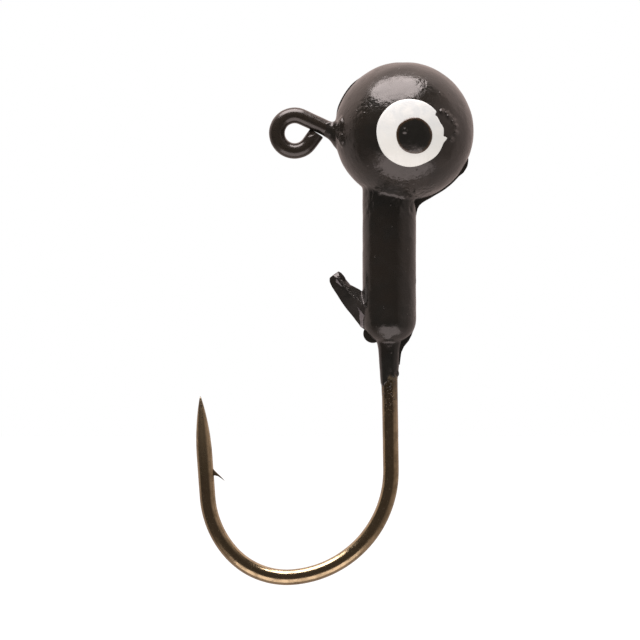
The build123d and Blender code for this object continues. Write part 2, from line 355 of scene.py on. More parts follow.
class Recipe:
    """A procedural material under construction, around one Principled shader."""

    def __init__(self, name, **sockets):
        self.material = bpy.data.materials.new(name)
        self.material.use_nodes = True
        self.tree = self.material.node_tree
        self.shader = self.tree.nodes["Principled BSDF"]
        for socket, value in sockets.items():
            self.shader.inputs[socket.replace("_", " ")].default_value = value

    def node(self, kind, settings=None, **sockets):
        """Adds a node to the material."""
        return add_node(self.tree, kind, settings, **sockets)

    def place(self, centre=(0, 0, 0), turn=(0, 0, 0), stretch=(1, 1, 1)):
        """Object coordinates in millimetres from a centre, turned and stretched."""
        coordinates = self.node("ShaderNodeTexCoord").outputs["Object"]
        scale = tuple(BENCH * share for share in stretch)
        shift = self.node("ShaderNodeVectorMath", {"operation": "SUBTRACT"},
                          i0=coordinates, i1=tuple(c / BENCH for c in centre))
        return self.node("ShaderNodeMapping", {}, Vector=shift.outputs[0], Rotation=turn,
                         Scale=scale).outputs[0]

    def noise(self, place, scale, detail=4.0, roughness=0.55):
        """A noise value at a grain per millimetre."""
        return self.node("ShaderNodeTexNoise", {}, Vector=place, Scale=scale, Detail=detail,
                         Roughness=roughness).outputs["Fac"]

    def span(self, value, low, high, to_low=0.0, to_high=1.0, smooth=True):
        """A value mapped from one range to another."""
        return self.node("ShaderNodeMapRange", {"interpolation_type": "SMOOTHSTEP" if smooth else "LINEAR"},
                         Value=value, From_Min=low, From_Max=high, To_Min=to_low, To_Max=to_high).outputs[0]

    def math(self, operation, first, second=0.0):
        """One arithmetic step."""
        return self.node("ShaderNodeMath", {"operation": operation}, i0=first, i1=second).outputs[0]

    def blend(self, share, first, second):
        """One colour turned into another by a share."""
        return self.node("ShaderNodeMix", {"data_type": "RGBA"}, i0=share, i6=first, i7=second).outputs[2]

    def feed(self, socket, output):
        """Links an output to the shader."""
        self.tree.links.new(output, self.shader.inputs[socket])

    def relief(self, *layers):
        """Stacks bumps, each a height and its depth in millimetres, and links the normal."""
        below = None
        for height, depth in layers:
            bump = self.node("ShaderNodeBump", {}, Height=height, Distance=depth / BENCH, Strength=1.0)
            if below:
                self.tree.links.new(below, bump.inputs["Normal"])
            below = bump.outputs[0]
        self.feed("Normal", below)


def apart(recipe, place):
    """The x, y and z outputs of a place."""
    return recipe.node("ShaderNodeSeparateXYZ", {}, Vector=place).outputs


def black_gloss(finish):
    """Dipped black gloss: very dark, wet, with pinholes, dust and shallow orange peel."""
    recipe = Recipe("black_gloss_paint", IOR=1.52, Specular_IOR_Level=0.5)
    here = recipe.place()
    cast = recipe.noise(here, 0.35, 3.0)
    thin = recipe.span(cast, 0.35, 0.65)
    recipe.feed("Base Color", recipe.blend(thin, (*finish.black_cool, 1), (*finish.black_warm, 1)))
    smear = recipe.noise(here, 1.3, 5.0, 0.6)
    recipe.feed("Roughness", recipe.span(smear, 0.36, 0.70, 0.16, 0.29))
    patch = recipe.span(recipe.noise(here, 0.55, 2.0), 0.54, 0.68, 0.35, 1.0)
    pitted = recipe.node("ShaderNodeAttribute", {"attribute_name": "pitted"}).outputs["Fac"]
    peel = recipe.noise(here, 1.1, 2.0)
    dimple = recipe.math("MULTIPLY", recipe.noise(here, 4.5, 3.0, 0.6), patch)
    pits = recipe.math("MULTIPLY", recipe.noise(here, 3.4, 2.0, 0.5), pitted)
    cells = recipe.node("ShaderNodeTexVoronoi", {}, Vector=here, Scale=1.7).outputs
    chosen = recipe.math("GREATER_THAN", apart(recipe, cells["Color"])[0], 0.60)
    nib = recipe.math("MULTIPLY", recipe.span(cells["Distance"], 0.14, 0.05), chosen)
    recipe.relief((peel, 0.020), (dimple, 0.026), (pits, 0.070), (nib, 0.022))
    return recipe.material


def stained_bronze(finish):
    """Bronze-lacquered wire: black wash from the dip on the line eye and leg, a duller point."""
    recipe = Recipe("stained_bronze_wire", IOR=1.5, Coat_Weight=0.2, Coat_Roughness=0.12)
    here = recipe.place()
    along = recipe.node("ShaderNodeAttribute", {"attribute_name": "along"}).outputs["Fac"]
    around = recipe.node("ShaderNodeAttribute", {"attribute_name": "around"}).outputs["Fac"]
    drawn_place = recipe.node("ShaderNodeCombineXYZ", {}, X=recipe.math("MULTIPLY", along, 0.35),
                              Y=recipe.math("MULTIPLY", around, 2.2)).outputs[0]
    drawn = recipe.noise(drawn_place, 4.0, 6.0, 0.65)
    tarnish = recipe.noise(here, 1.6, 6.0, 0.62)
    specks = recipe.noise(here, 7.5, 2.0, 0.5)
    height = apart(recipe, here)[2]
    bronze_dark = (*finish.bronze_dark, 1)
    bronze = recipe.blend(recipe.span(tarnish, 0.40, 0.66), (*finish.bronze_light, 1), bronze_dark)
    bronze = recipe.blend(recipe.span(drawn, 0.50, 0.72, 0.0, 0.55), bronze, bronze_dark)
    soot = recipe.span(height, -21.8, -17.6)
    speck_mask = recipe.span(recipe.math("ADD", specks, recipe.math("MULTIPLY", soot, 0.14)), 0.68, 0.73)
    edge = recipe.math("ADD", height, recipe.math("MULTIPLY", recipe.noise(here, 2.2, 3.0), 1.6))
    wash = recipe.span(edge, -17.3, -16.6, 0.0, 0.97)
    smoked = recipe.math("MULTIPLY", soot, recipe.span(tarnish, 0.30, 0.62, 0.55, 0.95))
    bronze = recipe.blend(smoked, bronze, (*finish.bronze_smoked, 1))
    black_share = recipe.math("MAXIMUM", wash, speck_mask)
    recipe.feed("Base Color", recipe.blend(black_share, bronze, (*finish.wash, 1)))
    recipe.feed("Metallic", recipe.span(black_share, 0.0, 1.0, 1.0, 0.0, smooth=False))
    point_side = recipe.span(apart(recipe, here)[0], -6.0, -4.6, 1.0, 0.0)
    ground = recipe.math("MULTIPLY", point_side, recipe.span(height, -26.0, -21.0, 0.0, 0.16))
    polish = recipe.math("ADD", ground, recipe.span(tarnish, 0.35, 0.7, 0.14, 0.27))
    recipe.feed("Roughness", recipe.math("ADD", polish, recipe.math("MULTIPLY", wash, 0.05)))
    bare = recipe.span(wash, 0.0, 0.97, 1.0, 0.0)
    pocks = recipe.math("MULTIPLY", recipe.span(specks, 0.56, 0.70), recipe.math("MULTIPLY", bare, soot))
    recipe.relief((drawn, 0.003), (recipe.noise(here, 1.3, 2.0), 0.012), (pocks, 0.02))
    return recipe.material


def cream_white(finish):
    """Thick brushed white paint, slightly cream, thin and streaky towards one side, with painted shade that
    darkens and cools it towards its top against the overhead light.
    """
    recipe = Recipe("eye_white_paint", IOR=1.5, Coat_Weight=0.1, Coat_Roughness=0.15)
    here = recipe.place(turn=(0, math.radians(-35), 0), stretch=(1.0, 1.0, 0.25))
    streak = recipe.noise(here, 2.4, 5.0, 0.6)
    mottle = recipe.noise(recipe.place(), 1.1, 4.0)
    # painted shade: the white darkens and cools from the bottom of the eye to its top, to even out the light
    # from above
    top_shading = recipe.span(apart(recipe, recipe.place(centre=BALL_CENTRE))[2], -2.4, 2.2)
    shade = (*finish.white_shade, 1)
    tone = recipe.blend(top_shading, (*finish.white_light, 1), (*finish.white_top_shaded, 1))
    tone = recipe.blend(recipe.span(mottle, 0.35, 0.68, 0.0, 0.35), tone, shade)
    recipe.feed("Base Color", recipe.blend(recipe.span(streak, 0.52, 0.80, 0.0, 0.35), tone, shade))
    recipe.feed("Roughness", recipe.span(streak, 0.3, 0.7, 0.28, 0.46))
    recipe.relief((streak, 0.012), (recipe.noise(recipe.place(), 5.0, 3.0), 0.006))
    return recipe.material


def pupil_black(finish, centre, radius):
    """A drop of thin black enamel, brown where it thins out at its rim."""
    recipe = Recipe("pupil_enamel", IOR=1.5, Coat_Weight=0.3, Coat_Roughness=0.08)
    here = recipe.place(centre=centre, stretch=(1.0, 0.0, 1.0))
    reach = recipe.node("ShaderNodeVectorMath", {"operation": "LENGTH"}, i0=here).outputs["Value"]
    ragged = recipe.math("ADD", reach, recipe.span(recipe.noise(recipe.place(), 3.0), 0.3, 0.7, -0.05, 0.05))
    rim = recipe.span(ragged, radius - 0.16, radius + 0.03)
    recipe.feed("Base Color", recipe.blend(rim, (*finish.black_cool, 1), (*finish.pupil_rim, 1)))
    recipe.feed("Roughness", recipe.span(recipe.noise(recipe.place(), 2.0), 0.3, 0.7, 0.10, 0.24))
    recipe.relief((recipe.noise(recipe.place(), 1.6, 3.0), 0.03))
    return recipe.material


def dull_lead(finish):
    """Cast lead under the paint: grey, oxidised and slightly pitted."""
    recipe = Recipe("cast_lead", Metallic=1.0)
    here = recipe.place()
    oxide = recipe.noise(here, 0.9, 6.0, 0.6)
    dulled = recipe.span(oxide, 0.35, 0.7)
    recipe.feed("Base Color", recipe.blend(dulled, (*finish.lead_light, 1), (*finish.lead_dark, 1)))
    recipe.feed("Roughness", recipe.span(oxide, 0.3, 0.7, 0.42, 0.68))
    recipe.relief((recipe.noise(here, 2.5, 5.0), 0.03))
    return recipe.material


# ---- Sizes and colours -------------------------------------------------------------------
class JigSizes(bpy.types.PropertyGroup):
    """Sizes that set the jig's weight and hook class."""

    wire: bpy.props.FloatProperty(
        name="Wire", description="Diameter of the hook's wire", unit="LENGTH", precision=5,
        default=hook_high.y - hook_low.y, min=0.0005, max=0.003)
    ball: bpy.props.FloatProperty(
        name="Ball", description="Diameter of the painted ball", unit="LENGTH", precision=5,
        default=coat_high.y - coat_low.y, min=0.005, max=0.02)
    collar: bpy.props.FloatProperty(
        name="Collar", description="Diameter of the painted collar", unit="LENGTH", precision=5,
        default=0.00389, min=0.002, max=0.006)
    eye_white: bpy.props.FloatProperty(
        name="Eye white", description="Diameter of the white of the painted eye", unit="LENGTH",
        precision=5, default=0.00477, min=0.002, max=0.008)
    pupil: bpy.props.FloatProperty(
        name="Pupil", description="Diameter of the pupil", unit="LENGTH", precision=5,
        default=0.00250, min=0.001, max=0.004)


class JigFinish(bpy.types.PropertyGroup):
    """Colours of the paints and the metals."""

    black_cool: bpy.props.FloatVectorProperty(
        name="Black, cool", description="Black paint where it is thick", subtype="COLOR",
        default=(0.0090, 0.0088, 0.0074))
    black_warm: bpy.props.FloatVectorProperty(
        name="Black, warm", description="Black paint where it is thin", subtype="COLOR",
        default=(0.0125, 0.0102, 0.0078))
    wash: bpy.props.FloatVectorProperty(
        name="Wash", description="Thin black over the bronze of the line eye", subtype="COLOR",
        default=(0.0105, 0.0078, 0.0058))
    bronze_light: bpy.props.FloatVectorProperty(
        name="Bronze, light", description="Clean bronze lacquer", subtype="COLOR",
        default=(0.37, 0.30, 0.185))
    bronze_smoked: bpy.props.FloatVectorProperty(
        name="Bronze, smoked", description="Lacquer darkened by the paint dip", subtype="COLOR",
        default=(0.14, 0.115, 0.078))
    bronze_dark: bpy.props.FloatVectorProperty(
        name="Bronze, dark", description="Tarnished bronze lacquer", subtype="COLOR",
        default=(0.235, 0.185, 0.108))
    # the eye white's colour at the bottom of its painted top-to-bottom shade, used there whatever the paint's
    # thickness
    white_light: bpy.props.FloatVectorProperty(
        name="White, light", description="White paint where it is thick", subtype="COLOR",
        default=(0.755, 0.755, 0.715))
    # painted shade: the eye white darkened and cooled towards its top, against the overhead light
    white_top_shaded: bpy.props.FloatVectorProperty(
        name="White, cool", description="White paint towards the top of the eye", subtype="COLOR",
        default=(0.49, 0.515, 0.515))
    white_shade: bpy.props.FloatVectorProperty(
        name="White, shade", description="White paint where it is thin", subtype="COLOR",
        default=(0.69, 0.68, 0.63))
    pupil_rim: bpy.props.FloatVectorProperty(
        name="Pupil rim", description="Pupil enamel where it thins out", subtype="COLOR",
        default=(0.035, 0.020, 0.010))
    lead_light: bpy.props.FloatVectorProperty(
        name="Lead, light", description="Fresh cast lead", subtype="COLOR",
        default=(0.33, 0.33, 0.35))
    lead_dark: bpy.props.FloatVectorProperty(
        name="Lead, dark", description="Oxidised lead", subtype="COLOR",
        default=(0.13, 0.13, 0.14))


# ---- Hook --------------------------------------------------------------------------------
class Bender:
    """Feeds and bends a wire in the hook's plane; its free end stays picked in edit mode."""

    def __init__(self, name, start, heading, radius):
        clear_bench()
        bpy.ops.mesh.primitive_circle_add(
            vertices=WIRE_SIDES, radius=radius, fill_type="NOTHING", location=start,
            rotation=(0, math.radians(90 - heading), 0))
        self.wire = settle(name)
        bpy.ops.mesh.select_mode(type="EDGE")
        bpy.ops.mesh.select_all(action="SELECT")
        self.point = Vector(start)
        self.heading = heading
        self.radius = radius
        self.length = 0.0
        self.stations = []
        self.note()

    def direction(self):
        """Which way the free end points."""
        return heading_of(self.heading)

    def note(self):
        """Records where the wire's centre line has reached."""
        self.stations.append((*self.point, *self.direction(), self.length))

    def feed(self, length, steps):
        """Pushes the wire straight on."""
        for _ in range(steps):
            step = self.direction() * (length / steps)
            bpy.ops.mesh.extrude_region_move(TRANSFORM_OT_translate={"value": step})
            self.point += step
            self.length += length / steps
            self.note()

    def bend(self, radius, turn, steps):
        """Bends the wire clockwise, as seen from the front."""
        side = Vector((self.direction().z, 0, -self.direction().x))
        centre = self.point + side * radius
        bpy.ops.mesh.spin(steps=steps, angle=-math.radians(turn), center=centre, axis=(0, 1, 0))
        for _ in range(steps):
            step = turn / steps
            self.point = centre + Matrix.Rotation(math.radians(step), 3, "Y") @ (self.point - centre)
            self.heading -= step
            self.length += radius * math.radians(step)
            self.note()

    def draw_down(self, radius):
        """Narrows the wire's free end to a radius."""
        share = radius / self.radius
        bpy.ops.transform.resize(value=(share, share, share), center_override=self.point)
        self.radius = radius


def leg_spot(reach):
    """A point on the leg's centre line, from where it leaves the ring."""
    return heading_of(90 - LEG_DROP) * RING_R + heading_of(-LEG_DROP) * reach


def shank_spot(z, aside=0.0):
    """A point on the shank's centre line at a height, moved aside."""
    return Vector((SHANK_X - z * math.tan(math.radians(SHANK_SLANT)) + aside, 0, z))


def leg_end(start):
    """How long the leg is, and how far the shoulder turns it down into the shank."""
    leg = heading_of(-LEG_DROP)
    shank = heading_of(SHANK_SLANT - 90)
    to_shank = Vector((SHANK_X, 0, 0)) - start
    reach = (to_shank.x * shank.z - to_shank.z * shank.x) / (leg.x * shank.z - leg.z * shank.x)
    turn = leg.angle(shank)
    return reach - SHOULDER_R * math.tan(turn / 2), math.degrees(turn)


def point_taper(bender, wire_r):
    """Grinds the point leg down to a needle along an even curve."""
    drop = wire_r - POINT_TIP_R
    grind_r = (POINT_TAPER ** 2 + drop ** 2) / (2 * drop)
    for step in range(1, TAPER_STEPS + 1):
        reach = POINT_TAPER * step / TAPER_STEPS
        bender.feed(POINT_TAPER / TAPER_STEPS, 1)
        bender.draw_down(wire_r - (grind_r - math.sqrt(grind_r ** 2 - reach ** 2)))
    bpy.ops.mesh.merge(type="CENTER")


def raise_barb(wire, tip, heading, wire_r):
    """Raises the barb as a sliver from the inner side of the point leg."""
    forward = heading_of(heading)
    inward = Vector((forward.z, 0, -forward.x))

    def under_the_blade(face):
        spot = face.calc_center_median() - tip
        back = -spot.dot(forward)
        low, high = BLADE_BAND
        return BARB_ROOT < back < BARB_HEEL and low * wire_r < spot.dot(inward) < high * wire_r

    pick(wire, "FACE", under_the_blade)
    turn = Matrix((forward, Vector((0, 1, 0)), inward)).transposed()
    foot = tip - forward * (BARB_ROOT + BARB_HEEL) / 2 + inward * wire_r
    for back, up, long_share, wide_share in BARB_STEPS:
        foot = foot - forward * back + inward * up
        bpy.ops.mesh.extrude_region_move(TRANSFORM_OT_translate={"value": inward * up - forward * back})
        bpy.ops.transform.resize(value=(long_share, wide_share, BARB_KEEPS_HIGH), orient_type="GLOBAL",
                                 orient_matrix=turn, orient_matrix_type="GLOBAL", center_override=foot)


def trim_tail(bender, tail):
    """Nips the ring's tail off under the leg, and leaves the nipper's ridge on its end."""
    outward = heading_of(NIP_TURN)
    inner_front = Vector((-outward.z, -1, outward.x)).normalized()
    facet = (inner_front + outward * NIP_FACET_LEAN).normalized()
    for place, facing in ((tail, outward), (tail + inner_front * NIP_FACET_IN, facet)):
        bpy.ops.mesh.select_all(action="SELECT")
        bpy.ops.mesh.bisect(plane_co=place, plane_no=facing, use_fill=True, clear_outer=True)
    pick(bender.wire, "FACE", lambda face: len(face.verts) > 4 and face.normal.dot(outward) > 0.9)
    for width, rise in NIP_STEPS:
        bpy.ops.mesh.inset(thickness=width)
        bpy.ops.transform.translate(value=outward * rise)
    pick(bender.wire, "VERT", lambda vertex: abs((vertex.co - bender.point).dot(bender.direction())) < 0.001)
    bpy.ops.mesh.select_mode(type="EDGE")


def carve_hook(sizes, finish):
    """The hook, from the line eye's trimmed end to the point."""
    wire_r = sizes.wire * BENCH / 2 + LACQUER
    ring_start = heading_of(RING_START) * RING_R
    heading = RING_START - 90
    to_ring = heading_of(heading)
    bender = Bender("hook_wire", ring_start - to_ring * (RING_TAIL + NIP_SPARE), heading, wire_r)
    bender.feed(RING_TAIL + NIP_SPARE, TAIL_STEPS)
    trim_tail(bender, ring_start - to_ring * RING_TAIL)
    bender.bend(RING_R, 360 + RING_START - (90 - LEG_DROP), RING_STEPS)
    reach, turn = leg_end(leg_spot(0))
    bender.feed(reach, LEG_STEPS)
    bender.bend(SHOULDER_R, turn, SHOULDER_STEPS)
    shank = (bender.point.z - BEND_START_Z) / math.cos(math.radians(SHANK_SLANT))
    bender.feed(shank, SHANK_STEPS)
    for bend_r, bend_turn in BEND_ARCS:
        bender.bend(bend_r, bend_turn, max(12, round(bend_turn / BEND_STEP_TURN)))
    bender.feed(POINT_LEG - BARB_HEEL, 4)
    bender.feed(BARB_HEEL - BARB_ROOT, 1)
    bender.feed(BARB_ROOT - POINT_TAPER, 2)
    point_taper(bender, wire_r)
    raise_barb(bender.wire, bender.point, bender.heading, wire_r)
    fix_normals()
    wire = bender.wire
    mark_drawing_lines(wire, bender.stations)
    weigh(wire, "wash", lambda spot: smooth_step(-18.5, -17.0, spot.z))
    work(wire, "DISPLACE", texture=clouds("wire_waver", 2.2), strength=0.015, mid_level=0.5)
    work(wire, "DISPLACE", texture=clouds("wash_lumps", 0.9), strength=0.02, mid_level=0.5,
         vertex_group="wash")
    bpy.ops.object.shade_smooth_by_angle(angle=math.radians(42))
    off_the_bench(wire, stained_bronze(finish), "hook_wire", "hook")


def mark_drawing_lines(wire, stations):
    """Stores how far along and around the wire each vertex is, for the drawn grain."""
    path = np.array(stations)
    spots = np.array([vertex.co[:] for vertex in wire.data.vertices])
    gaps = ((spots[:, None, :] - path[None, :, :3]) ** 2).sum(axis=2)
    nearest = path[gaps.argmin(axis=1)]
    offset = spots - nearest[:, :3]
    ahead = (offset * nearest[:, 3:6]).sum(axis=1)
    side = offset[:, 0] * nearest[:, 5] - offset[:, 2] * nearest[:, 3]
    values = {"along": nearest[:, 6] + ahead, "around": np.abs(np.arctan2(offset[:, 1], side))}
    for name, numbers in values.items():
        layer = wire.data.attributes.new(name, "FLOAT", "POINT")
        layer.data.foreach_set("value", numbers.astype(np.float32))


# ---- Painted head ------------------------------------------------------------------------
def cast_ball(sizes):
    """The ball, with the flat where its pouring gate was trimmed."""
    clear_bench()
    bpy.ops.mesh.primitive_uv_sphere_add(segments=96, ring_count=64, radius=sizes.ball * BENCH / 2,
                                         location=BALL_CENTRE)
    ball = settle("painted_head")
    bpy.ops.mesh.select_all(action="SELECT")
    bpy.ops.mesh.bisect(plane_co=(0, 0, GATE_FLAT_Z), plane_no=(0, 0, 1), use_fill=True, clear_outer=True)
    fix_normals()
    return ball


def cast_collar(sizes):
    """The bait collar, with its rounded lower end."""
    top = BALL_CENTRE.z
    clear_bench()
    bpy.ops.mesh.primitive_cylinder_add(vertices=96, radius=sizes.collar * BENCH / 2,
                                        depth=top - COLLAR_END_Z,
                                        location=(COLLAR_X, 0, (top + COLLAR_END_Z) / 2))
    collar = settle("collar")
    pick(collar, "EDGE", lambda edge: middle(edge).z < COLLAR_END_Z + 0.01)
    bpy.ops.mesh.bevel(offset=COLLAR_END_ROUND, segments=12, affect="EDGES")
    fix_normals()
    return collar


def cast_keeper(thinner):
    """The keeper barb: a diamond bar that waists and swells towards its blunt, bevelled tip."""
    clear_bench()
    bpy.ops.mesh.primitive_circle_add(vertices=4, radius=1.0, fill_type="NGON")
    keeper = settle("keeper_barb")
    bpy.ops.mesh.select_mode(type="FACE")
    bpy.ops.mesh.select_all(action="SELECT")
    reached = None
    for along, upper, ridge, lower, thick in KEEPER_SECTIONS:
        if reached is not None:
            bpy.ops.mesh.extrude_region_move(TRANSFORM_OT_translate={"value": (0, 0, along - reached)})
        reached = along
        shape = bmesh.from_edit_mesh(keeper.data)
        corners = [vertex for vertex in shape.verts if vertex.select]
        lean = sorted(corners, key=lambda vertex: vertex.co.x)
        sides = sorted(lean[1:3], key=lambda vertex: vertex.co.y)
        lean[0].co = (thinner - lower, 0, along)
        lean[3].co = (upper - thinner, 0, along)
        sides[0].co = (ridge, thinner - thick, along)
        sides[1].co = (ridge, thick - thinner, along)
        bmesh.update_edit_mesh(keeper.data)
    for side in (1, -1):
        place = (TIP_BEVEL_AT[0], side * (TIP_BEVEL_AT[1] - thinner), TIP_BEVEL_AT[2])
        facing = (TIP_BEVEL_FACING[0], side * TIP_BEVEL_FACING[1], TIP_BEVEL_FACING[2])
        bpy.ops.mesh.select_all(action="SELECT")
        bpy.ops.mesh.bisect(plane_co=place, plane_no=facing, use_fill=True, clear_outer=True)
    fix_normals()
    keeper.rotation_euler = (0, math.radians(KEEPER_LEAN - 90), 0)
    keeper.location = KEEPER_ROOT
    only(keeper)
    bpy.ops.object.transform_apply(location=True, rotation=True, scale=True)
    return keeper


def keeper_spot(along, up, out):
    """A point beside the keeper barb's axis: along it, up from it and out to the front."""
    axis, rise = heading_of(180 - KEEPER_LEAN), heading_of(90 - KEEPER_LEAN)
    return KEEPER_ROOT + axis * along + rise * up - Vector((0, out, 0))


def finish_keeper():
    """The keeper barb with its ridges rounded by the paint."""
    keeper = cast_keeper(0.0)
    work(keeper, "BEVEL", width=0.055, segments=3, limit_method="ANGLE", angle_limit=math.radians(24))
    work(keeper, "SUBSURF", levels=2, render_levels=2, subdivision_type="SIMPLE")
    work(keeper, "SMOOTH", factor=0.5, iterations=3)
    work(keeper, "DISPLACE", texture=clouds("keeper_waves", 0.8, 1), strength=0.04, mid_level=0.5)
    bpy.ops.object.shade_smooth()
    return keeper


def film_sleeve(name, rings, direction, ragged):
    """A film of paint round the wire, from a list of places and radii, with a ragged end."""
    clear_bench()
    start, first_r = rings[0]
    turn = Vector((0, 0, 1)).rotation_difference(direction)
    bpy.ops.mesh.primitive_circle_add(vertices=40, radius=first_r, fill_type="NGON", location=start,
                                      rotation=turn.to_euler())
    sleeve = settle(name)
    bpy.ops.mesh.select_mode(type="FACE")
    bpy.ops.mesh.select_all(action="SELECT")
    before, radius = start, first_r
    for spot, ring_r in rings[1:]:
        bpy.ops.mesh.extrude_region_move(TRANSFORM_OT_translate={"value": spot - before})
        share = ring_r / radius
        bpy.ops.transform.resize(value=(share, share, share), center_override=spot)
        before, radius = spot, ring_r
    shape = bmesh.from_edit_mesh(sleeve.data)
    for vertex in [v for v in shape.verts if v.select]:
        vertex.co += direction * ragged(vertex.co - before)
    bmesh.update_edit_mesh(sleeve.data)
    fix_normals()
    return sleeve


def lump(place, size, stretch=(1, 1, 1)):
    """A blob of thick paint."""
    clear_bench()
    bpy.ops.mesh.primitive_ico_sphere_add(subdivisions=3, radius=size, location=place)
    bpy.context.object.scale = stretch
    blob = settle("lump")
    bpy.ops.object.mode_set(mode="OBJECT")
    return blob


def mark_pits(head):
    """Stores where the paint on the head is pitted, as a share at each vertex."""
    spots = np.array([vertex.co[:] for vertex in head.data.vertices]) - np.array(BALL_CENTRE[:])
    share = np.zeros(len(spots))
    for across, up, size, strength in PITS:
        gap = np.hypot(spots[:, 0] - across, spots[:, 2] - up) / size
        share = np.maximum(share, strength * np.exp(-gap ** 2))
    layer = head.data.attributes.new("pitted", "FLOAT", "POINT")
    layer.data.foreach_set("value", share.astype(np.float32))


def join(first, others):
    """Joins pieces into the first one."""
    only(first)
    for other in others:
        other.select_set(True)
    bpy.ops.object.join()
    return first


def neck_share(spot):
    """How much the corner between ball and collar is filled in: most at its front and back."""
    height = swell(-6.5, -5.5, -4.4, -3.3, spot.z)
    return height * smooth_step(0.5, 1.3, abs(spot.y)) * (abs(spot.x - COLLAR_X) < 3.0)


def shank_edge(spot):
    """How far the shank's film runs on at a point of its rim."""
    turn = math.atan2(spot.y, spot.x)
    return 0.30 * math.sin(2 * turn + 0.4) + 0.18 * math.sin(5 * turn) + 0.5 * smooth_step(0.1, 0.5, -spot.x)


def leg_edge(spot):
    """How far the leg's film runs on at a point of its rim."""
    return 0.14 * math.sin(4 * math.atan2(spot.y, spot.z))


def drip_lumps():
    """The lumps and drips of thick paint on the leg, ball, collar and shank."""
    anchors = {
        "leg": leg_spot,
        "ball": lambda along: BALL_CENTRE,
        "collar": lambda z: Vector((COLLAR_X, 0, z)),
        "shank": shank_spot,
    }
    return [lump(anchors[on](along) + Vector(offset), size, stretch)
            for on, along, offset, size, stretch in LUMPS]


def ridge_beads():
    """The beads of paint that stand along the keeper's front ridge."""
    beads = []
    for index in range(RIDGE_BEADS):
        along = RIDGE_BEAD_START + RIDGE_BEAD_STEP * index
        _, _, ridge, _, thick = min(KEEPER_SECTIONS, key=lambda row: abs(row[0] - along))
        up = ridge + 0.02 * math.sin(5.0 * index)
        beads.append(lump(keeper_spot(along, up, thick + 0.02), 0.080 + 0.022 * math.sin(2.3 * index)))
    return beads


def coat_head(sizes):
    """The coat that covers ball, collar, keeper barb and the wire beside them, in one skin."""
    shank_rings = [(shank_spot(z, aside), radius) for z, aside, radius in SHANK_FILM]
    leg_rings = [(leg_spot(reach), radius) for reach, radius in LEG_FILM]
    runs = [
        film_sleeve("shank_film", shank_rings, heading_of(SHANK_SLANT - 90), shank_edge),
        film_sleeve("leg_film", leg_rings, heading_of(180 - LEG_DROP), leg_edge),
        *drip_lumps(),
    ]
    head = join(cast_ball(sizes), [cast_collar(sizes), cast_keeper(COAT_OVER_KEEPER), *runs])
    work(head, "REMESH", mode="VOXEL", voxel_size=PAINT_VOXEL, adaptivity=0.0)
    weigh(head, "neck", neck_share)
    work(head, "SMOOTH", factor=0.5, iterations=5)
    work(head, "SMOOTH", factor=0.6, iterations=60, vertex_group="neck")
    work(head, "DISPLACE", texture=clouds("neck_lumps", 0.38, 2), strength=0.11, mid_level=0.5,
         vertex_group="neck")
    work(head, "DISPLACE", texture=clouds("paint_waves", 1.5, 1), strength=0.04, mid_level=0.5)
    work(head, "DISPLACE", texture=clouds("paint_grain", 0.5, 2), strength=0.012, mid_level=0.5)
    mark_pits(head)
    beads = ridge_beads()
    join(head, [finish_keeper(), *beads])
    bpy.ops.object.shade_smooth()
    return head


# ---- Parting flash -----------------------------------------------------------------------
def flash_plate(name, outline, thick):
    """A thin plate of painted flash in the parting plane, from its outline."""
    clear_bench()
    bpy.ops.mesh.primitive_circle_add(vertices=len(outline), radius=1.0, fill_type="NGON",
                                      rotation=(math.radians(90), 0, 0))
    plate = settle(name)
    bpy.ops.mesh.select_all(action="SELECT")
    shape = bmesh.from_edit_mesh(plate.data)
    shape.verts.ensure_lookup_table()
    for vertex, (x, z) in zip(shape.verts, outline):
        vertex.co = (x, -thick / 2, z)
    bmesh.update_edit_mesh(plate.data)
    bpy.ops.mesh.extrude_region_move(TRANSFORM_OT_translate={"value": (0, thick, 0)})
    pick(plate, "EDGE", lambda edge: abs(edge.verts[0].co.y - edge.verts[1].co.y) < 0.01)
    bpy.ops.mesh.bevel(offset=min(thick * 0.3, 0.05), segments=2, affect="EDGES")
    fix_normals()
    return plate


def fin_reach(turn, sizes):
    """How far the ball's flash reaches from its centre at an angle, proud where it shows."""
    hidden = sizes.ball * BENCH / 2 - FIN_SUNK
    return hidden + sum(reach * swell(*angles, turn) for *angles, reach in FIN_PARTS)


def trim_flash(sizes):
    """All the flash: crescent and nib on the ball, and webs at the neck and collar end."""
    ball_fin = []
    for index in range(FIN_STEPS):
        turn = 360.0 * index / FIN_STEPS - 180
        spot = BALL_CENTRE + heading_of(turn) * fin_reach(turn, sizes)
        ball_fin.append((spot.x, spot.z))
    lobe_turns = [math.radians(10 * index) for index in range(36)]
    lobe = [(LOBE_AT[0] + LOBE_R[0] * math.cos(turn), LOBE_AT[1] + LOBE_R[1] * math.sin(turn))
            for turn in lobe_turns]
    flash = flash_plate("parting_flash", ball_fin, FIN_THICK)
    webs = [
        flash_plate("neck_web", NECK_WEB, WEB_THICK),
        flash_plate("end_web", END_WEB, WEB_THICK),
        flash_plate("end_lobe", lobe, LOBE_THICK),
    ]
    join(flash, webs)
    bpy.ops.object.shade_smooth_by_angle(angle=math.radians(30))
    return flash


# ---- Painted eyes ------------------------------------------------------------------------
def chipped_white(turn):
    """The white's outline as a share of its radius: a chip, a spur and a hand's waver."""
    waver = 1 + 0.006 * math.sin(math.radians(3 * turn + 40)) + 0.004 * math.sin(math.radians(7 * turn))
    chip = swell(4, 20, 35, 40, turn)
    nick = math.exp(-((turn - 35) / 2.0) ** 2)
    flat = swell(-6.5, -5.5, 2, 14, turn)
    spur = swell(-20, -7.6, -7.4, -5.6, turn)
    bulge = swell(-66, -36, -20, -7.6, turn)
    return waver - 0.078 * chip - 0.018 * nick - 0.014 * flat + 0.105 * spur ** 1.3 + 0.030 * bulge


